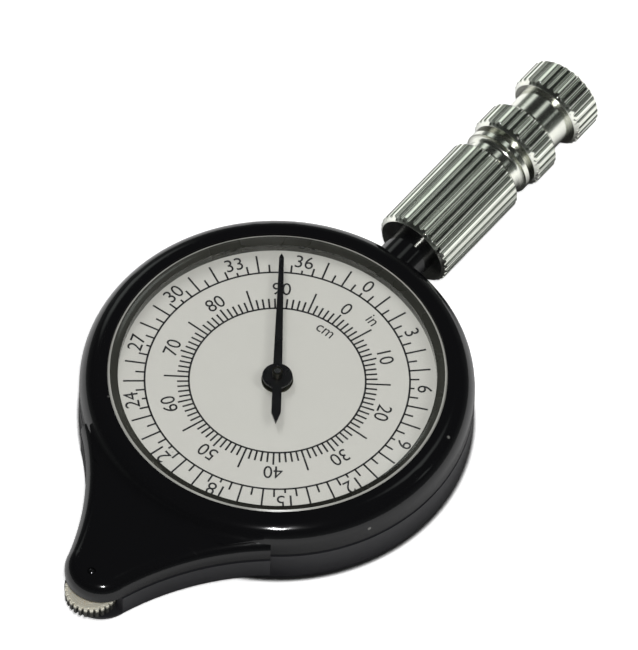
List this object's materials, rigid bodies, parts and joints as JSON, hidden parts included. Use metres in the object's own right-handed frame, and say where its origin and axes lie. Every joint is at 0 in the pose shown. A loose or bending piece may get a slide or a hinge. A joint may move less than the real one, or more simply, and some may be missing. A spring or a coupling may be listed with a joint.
{
  "type": "opisometer map measurer",
  "caption": "Pocket map measurer: a serrated tracing wheel drives a gear train and a pointer over a round dial; black case with a tapering nose, knurled chrome handle.",
  "frame": {"origin": "centre of the round case's flat back, under the pointer's axis", "axes": "+Z out of the dial, +Y along the handle away from the tracing wheel, +X to the right seen from the dial's side"},
  "size_m": [0.0419, 0.0847, 0.0098],
  "materials": {
    "front_gloss": "polished black moulding",
    "back_satin": "satin dark grey moulding",
    "crystal_clear": "clear, polished",
    "dial_print": "pale warm grey, printed in black",
    "plate_brass": "fine brushed",
    "screw_steel": "turned",
    "bush_brass": "turned",
    "wheel_nickel": "nickelled, worn",
    "pinion_brass": "cut teeth",
    "axle_steel": "polished ends",
    "gear_brass": "circular brushed",
    "arbor_steel": "polished",
    "pointer_black": "satin black",
    "pipe_olive": "darkened",
    "grip_chrome": "knurled, plated",
    "cap_chrome": "knurled, plated"
  },
  "bodies": {
    "case": {"front_shell": "front_gloss", "back_shell": "back_satin", "crystal": "crystal_clear", "dial": "dial_print", "movement_plate": "plate_brass", "plate_screws": "screw_steel", "dial_bush": "bush_brass", "handle_screw": "screw_steel", "grip_barrel": "grip_chrome", "grip_cap": "cap_chrome"},
    "wheel": {"tracing_wheel": "wheel_nickel", "drive_pinion": "pinion_brass", "wheel_axle": "axle_steel"},
    "idler": {"idler_gear": "gear_brass", "idler_arbor": "arbor_steel"},
    "first_pair": {"first_gear": "gear_brass", "first_pinion": "pinion_brass", "first_arbor": "arbor_steel"},
    "second_pair": {"second_gear": "gear_brass", "second_pinion": "pinion_brass", "second_arbor": "arbor_steel"},
    "centre": {"centre_gear": "gear_brass", "centre_arbor": "arbor_steel", "pointer": "pointer_black", "pointer_pipe": "pipe_olive"}
  },
  "joints": [
    {"name": "wheel_spin", "type": "hinge", "parent": "case", "child": "wheel", "pos_m": [0, -0.03142, 0.00285], "axis": [0, 0, 1], "continuous": true},
    {"name": "idler_spin", "type": "hinge", "parent": "case", "child": "idler", "pos_m": [0, -0.02715, 0.0047], "axis": [0, 0, 1], "continuous": true},
    {"name": "first_spin", "type": "hinge", "parent": "case", "child": "first_pair", "pos_m": [0, -0.018, 0.0047], "axis": [0, 0, 1], "continuous": true},
    {"name": "second_spin", "type": "hinge", "parent": "case", "child": "second_pair", "pos_m": [0, -0.01, 0.0033], "axis": [0, 0, 1], "continuous": true},
    {"name": "centre_spin", "type": "hinge", "parent": "case", "child": "centre", "pos_m": [0, 0, 0.0072], "axis": [0, 0, 1], "continuous": true}
  ],
  "couplings": [
    {"joint": "idler_spin", "follows": "wheel_spin", "ratio": -0.4},
    {"joint": "first_spin", "follows": "wheel_spin", "ratio": 0.2},
    {"joint": "second_spin", "follows": "wheel_spin", "ratio": -0.066667},
    {"joint": "centre_spin", "follows": "wheel_spin", "ratio": 0.016667}
  ]
}
